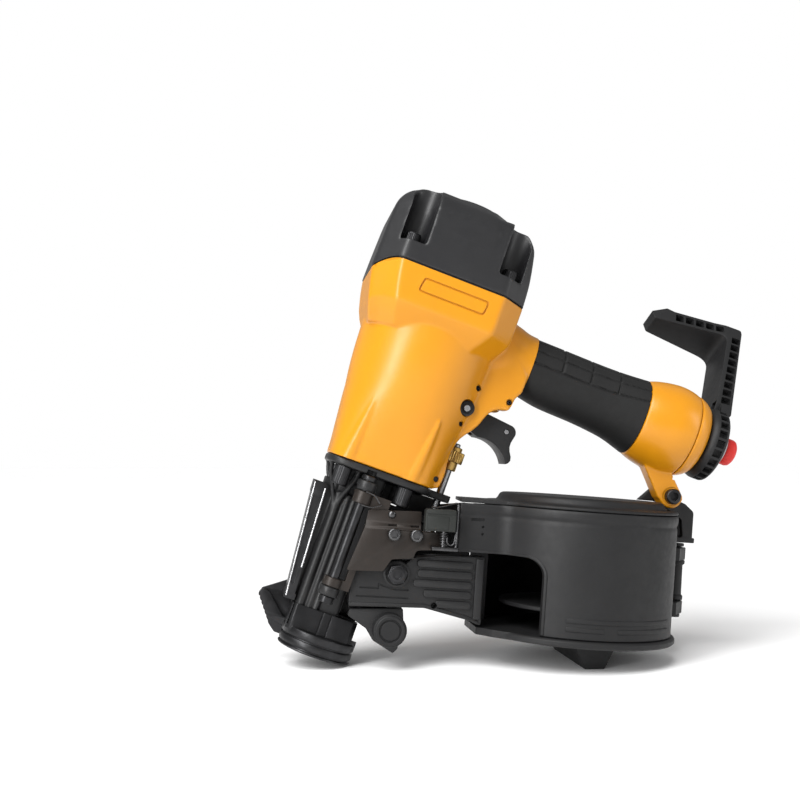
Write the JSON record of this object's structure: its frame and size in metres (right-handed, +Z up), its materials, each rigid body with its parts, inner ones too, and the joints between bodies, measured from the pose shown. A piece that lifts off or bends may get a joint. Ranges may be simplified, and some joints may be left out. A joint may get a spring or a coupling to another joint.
{
  "type": "pneumatic coil nail gun",
  "caption": "Pneumatic coil nailer: yellow body leaning on its round coil magazine and nose foot, black head cap, rubber grip, hanging hook and red inlet plug.",
  "frame": {"origin": "middle of the footprint, on the floor the tool stands on", "axes": "+X runs from the nose to the back of the handle, +Y across the tool away from the loading door, +Z up"},
  "size_m": [0.3068, 0.128, 0.2671],
  "materials": {
    "yellow_paint": "semi-gloss orange-yellow paint on cast metal",
    "black_plastic": "satin black moulded plastic",
    "black_cast": "satin black coating on cast metal",
    "black_rubber": "matt black rubber",
    "red_rubber": "soft red rubber",
    "aluminium": "turned aluminium",
    "brass": "machined brass",
    "brown_steel": "dark brown heat-treated steel sheet",
    "green_grey_steel": "green-grey phosphate coating",
    "steel": "bright steel",
    "black_oxide_steel": "black oxide steel"
  },
  "bodies": {
    "tool_body": {"air_fitting": "steel", "bracket_bolt": "black_oxide_steel", "bumper": "black_rubber", "canister_base": "black_plastic", "canister_hinge_pin": "black_oxide_steel", "cap_gasket": "black_rubber", "cap_screw_1": "black_oxide_steel", "cap_screw_2": "black_oxide_steel", "cap_screw_3": "black_oxide_steel", "cap_screw_4": "black_oxide_steel", "centre_post": "steel", "contact_spring": "steel", "cylinder_sleeve": "aluminium", "deflector_screw": "black_oxide_steel", "door_hinge_pin": "black_oxide_steel", "end_cap": "yellow_paint", "feed_cylinder": "aluminium", "feed_spring": "steel", "grip": "black_rubber", "head_cap": "black_plastic", "head_valve_spring": "steel", "housing": "yellow_paint", "magazine_arm": "black_cast", "magazine_bracket": "black_cast", "nose_body": "black_cast", "nose_screw_1": "black_oxide_steel", "nose_screw_2": "black_oxide_steel", "nose_screw_3": "black_oxide_steel", "nose_screw_4": "black_oxide_steel", "roll_pin_rear": "black_oxide_steel", "roll_pin_upper": "black_oxide_steel", "shingle_guide": "black_cast", "track_bolt": "black_oxide_steel", "trigger_pin": "black_oxide_steel", "trigger_valve": "brass"},
    "contact": {"contact_foot": "black_oxide_steel", "contact_arm": "black_oxide_steel", "contact_rod": "steel"},
    "depth_wheel": {"depth_wheel": "brass"},
    "exhaust_deflector": {"exhaust_deflector": "black_plastic"},
    "head_valve": {"head_valve": "black_plastic"},
    "piston": {"piston": "steel", "piston_ring": "black_rubber"},
    "trigger": {"trigger": "black_plastic"},
    "trip_lever": {"trip_lever": "steel"},
    "valve_stem": {"valve_stem": "steel"},
    "guide_knob": {"guide_knob": "black_plastic"},
    "feed_piston": {"feed_piston": "steel"},
    "feed_pawl": {"feed_pawl": "black_oxide_steel"},
    "door": {"feed_door": "brown_steel", "door_plate": "brown_steel", "door_screw_1": "steel", "door_screw_2": "steel", "latch_block": "green_grey_steel", "latch_spring": "steel"},
    "latch_pin": {"latch_pin": "steel"},
    "canister_cover": {"canister_cover": "black_plastic"},
    "nail_platform": {"nail_platform": "black_plastic"},
    "hook": {"hook": "black_plastic"},
    "inlet_plug": {"inlet_plug": "red_rubber"}
  },
  "joints": [
    {"name": "exhaust_deflector_spin", "type": "hinge", "parent": "tool_body", "child": "exhaust_deflector", "pos_m": [-0.0303, -0.00557, 0.26065], "axis": [0.342, 0, 0.9397], "continuous": true},
    {"name": "head_valve_lift", "type": "slide", "parent": "tool_body", "child": "head_valve", "axis": [0.342, 0, 0.9397], "range_m": [0, 0.003], "stiffness_N_per_m": 2000, "springref_m": -0.005, "deforming": ["head_valve_spring"]},
    {"name": "piston_slide", "type": "slide", "parent": "tool_body", "child": "piston", "axis": [-0.342, 0, -0.9397], "range_m": [0, 0.07]},
    {"name": "trigger_pull", "type": "hinge", "parent": "tool_body", "child": "trigger", "pos_m": [-0.03763, -0.00557, 0.14519], "axis": [0, -1, 0], "range_deg": [0, 12], "stiffness_Nm_per_rad": 0.8, "springref_deg": -11.46},
    {"name": "trip_lever_tilt", "type": "hinge", "parent": "trigger", "child": "trip_lever", "pos_m": [-0.01214, -0.00557, 0.13219], "axis": [0, 1, 0], "range_deg": [0, 8], "stiffness_Nm_per_rad": 0.05, "springref_deg": -11.46},
    {"name": "valve_stem_press", "type": "slide", "parent": "tool_body", "child": "valve_stem", "axis": [0.342, 0, 0.9397], "range_m": [0, 0.003], "stiffness_N_per_m": 500, "springref_m": -0.006},
    {"name": "contact_slide", "type": "slide", "parent": "tool_body", "child": "contact", "axis": [0.342, 0, 0.9397], "range_m": [0, 0.01], "stiffness_N_per_m": 1000, "springref_m": -0.03, "deforming": ["contact_spring"]},
    {"name": "depth_wheel_spin", "type": "hinge", "parent": "contact", "child": "depth_wheel", "pos_m": [-0.04179, -0.00557, 0.11797], "axis": [0.342, 0, 0.9397], "continuous": true},
    {"name": "guide_knob_spin", "type": "hinge", "parent": "tool_body", "child": "guide_knob", "pos_m": [-0.08172, -0.03357, 0.02289], "axis": [0, 1, 0], "continuous": true},
    {"name": "feed_slide", "type": "slide", "parent": "tool_body", "child": "feed_piston", "axis": [0.9397, 0, -0.342], "range_m": [0, 0.0085], "stiffness_N_per_m": 600, "springref_m": -0.012, "deforming": ["feed_spring"]},
    {"name": "feed_pawl_tilt", "type": "hinge", "parent": "feed_piston", "child": "feed_pawl", "pos_m": [-0.08668, 0.02043, 0.06833], "axis": [-0.342, 0, -0.9397], "range_deg": [0, 10], "stiffness_Nm_per_rad": 0.02, "springref_deg": -17.19},
    {"name": "door_swing", "type": "hinge", "parent": "tool_body", "child": "door", "pos_m": [-0.09772, -0.03057, 0.0915], "axis": [-0.342, 0, -0.9397], "range_deg": [0, 100]},
    {"name": "latch_lift", "type": "slide", "parent": "door", "child": "latch_pin", "axis": [0.0698, 0, 0.9976], "range_m": [0, 0.004], "stiffness_N_per_m": 300, "springref_m": -0.008, "deforming": ["latch_spring"]},
    {"name": "cover_swing", "type": "hinge", "parent": "tool_body", "child": "canister_cover", "pos_m": [0.0941, 0.00243, 0.04], "axis": [0.0698, 0, 0.9976], "range_deg": [0, 100]},
    {"name": "platform_slide", "type": "slide", "parent": "tool_body", "child": "nail_platform", "axis": [0.0698, 0, 0.9976], "range_m": [0, 0.025]},
    {"name": "hook_swivel", "type": "hinge", "parent": "tool_body", "child": "hook", "pos_m": [0.11182, -0.00557, 0.12485], "axis": [0.9397, 0, -0.342], "range_deg": [-52, 128]},
    {"name": "inlet_plug_pull", "type": "slide", "parent": "tool_body", "child": "inlet_plug", "axis": [0.9397, 0, -0.342], "range_m": [0, 0.012]}
  ]
}
